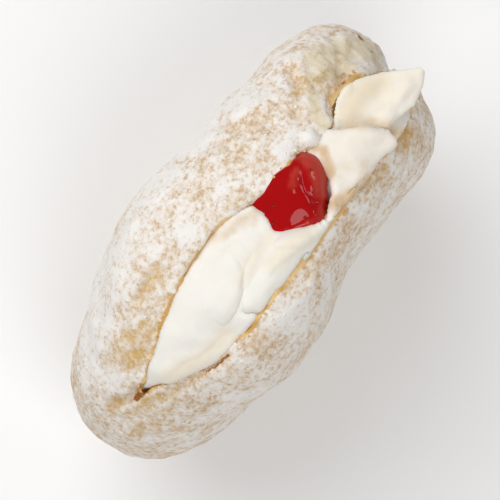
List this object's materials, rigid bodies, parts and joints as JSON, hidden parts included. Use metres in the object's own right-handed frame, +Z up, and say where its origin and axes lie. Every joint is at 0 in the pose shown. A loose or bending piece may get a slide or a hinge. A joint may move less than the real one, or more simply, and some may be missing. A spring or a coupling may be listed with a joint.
{
  "type": "jam and cream filled doughnut",
  "caption": "Oval doughnut split along its top, filled with piped whipped cream and a dab of red jam, dusted all over with icing sugar; it stands on its hinge edge.",
  "frame": {"origin": "centre of the bounding box's base, on the small flat spot of the hinge edge that the doughnut rests on", "axes": "+X along the cut towards the open far end, +Y through the thickness towards the domed crown half, +Z up from the hinge edge to the lips of the cut"},
  "size_m": [0.1068, 0.051, 0.0921],
  "materials": {
    "sugared_dough": "fried dough under matt icing sugar",
    "whipped_cream": "soft satin whipped cream",
    "jam": "wet, glossy red jam"
  },
  "bodies": {
    "root": {"dough": "sugared_dough", "cream": "whipped_cream", "jam": "jam"}
  },
  "joints": []
}
